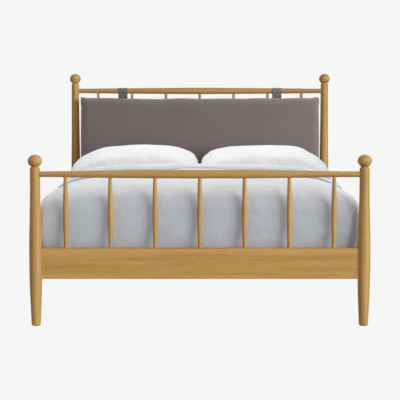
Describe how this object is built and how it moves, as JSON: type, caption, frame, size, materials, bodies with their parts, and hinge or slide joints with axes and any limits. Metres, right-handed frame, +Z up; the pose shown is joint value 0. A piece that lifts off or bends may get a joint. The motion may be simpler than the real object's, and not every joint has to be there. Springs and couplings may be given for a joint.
{
  "type": "spindle bed",
  "caption": "Turned oak spindle bed with ball-topped posts, slatted base, mattress, duvet, pillows and a padded cushion hung from the headboard rail.",
  "frame": {"origin": "on the floor below the middle of the bed", "axes": "+Y to the head end, +X to the right seen from the foot, +Z up"},
  "size_m": [1.6118, 2.1467, 1.2278],
  "materials": {
    "oak": "satin",
    "pine": "matte",
    "steel_plate": "matte",
    "zinc_steel": "satin",
    "brass": "satin",
    "glide_plastic": "matte",
    "mattress_ticking": "matte",
    "duvet_cotton": "matte",
    "pillow_cotton": "matte",
    "cushion_fabric": "matte",
    "strap_webbing": "matte",
    "press_stud": "satin"
  },
  "bodies": {
    "bed_frame": {"foot_post_left": "oak", "head_post_left": "oak", "foot_knob_left": "oak", "head_knob_left": "oak", "foot_post_right": "oak", "head_post_right": "oak", "foot_knob_right": "oak", "head_knob_right": "oak", "footboard_lower_rail": "oak", "headboard_lower_rail": "oak", "footboard_top_rail": "oak", "headboard_top_rail": "oak", "side_rail_left": "oak", "side_rail_right": "oak", "foot_spindle_1": "oak", "head_spindle_1": "oak", "foot_spindle_2": "oak", "head_spindle_2": "oak", "foot_spindle_3": "oak", "head_spindle_3": "oak", "foot_spindle_4": "oak", "head_spindle_4": "oak", "foot_spindle_5": "oak", "head_spindle_5": "oak", "foot_spindle_6": "oak", "head_spindle_6": "oak", "foot_spindle_7": "oak", "head_spindle_7": "oak", "slat_ledge_left": "pine", "slat_ledge_right": "pine", "centre_rail": "pine", "slat_01": "pine", "slat_02": "pine", "slat_03": "pine", "slat_04": "pine", "slat_05": "pine", "slat_06": "pine", "slat_07": "pine", "slat_08": "pine", "slat_09": "pine", "slat_10": "pine", "slat_11": "pine", "slat_12": "pine", "centre_rail_pocket_foot": "steel_plate", "centre_rail_pocket_head": "steel_plate", "wood_screws": "zinc_steel", "bed_studs": "zinc_steel", "crescent_washers": "zinc_steel", "stud_nuts": "zinc_steel", "post_inserts": "brass", "floor_glides": "glide_plastic", "mattress": "mattress_ticking"},
    "hung_cushion": {"headboard_cushion": "cushion_fabric", "strap_left": "strap_webbing", "strap_right": "strap_webbing", "strap_press_studs": "press_stud"},
    "duvet_body": {"duvet": "duvet_cotton"},
    "pillow_left_body": {"pillow_left": "pillow_cotton"},
    "pillow_right_body": {"pillow_right": "pillow_cotton"}
  },
  "joints": [
    {"name": "cushion_swing", "type": "hinge", "parent": "bed_frame", "child": "hung_cushion", "pos_m": [0, 1.04, 1.1228], "axis": [-1, 0, 0], "range_deg": [0, 3]},
    {"name": "duvet_lift", "type": "slide", "parent": "bed_frame", "child": "duvet_body", "axis": [0, 0, 1], "range_m": [0, 0.3]},
    {"name": "pillow_left_lift", "type": "slide", "parent": "bed_frame", "child": "pillow_left_body", "axis": [0, 0, 1], "range_m": [0, 0.3]},
    {"name": "pillow_right_lift", "type": "slide", "parent": "bed_frame", "child": "pillow_right_body", "axis": [0, 0, 1], "range_m": [0, 0.3]}
  ]
}
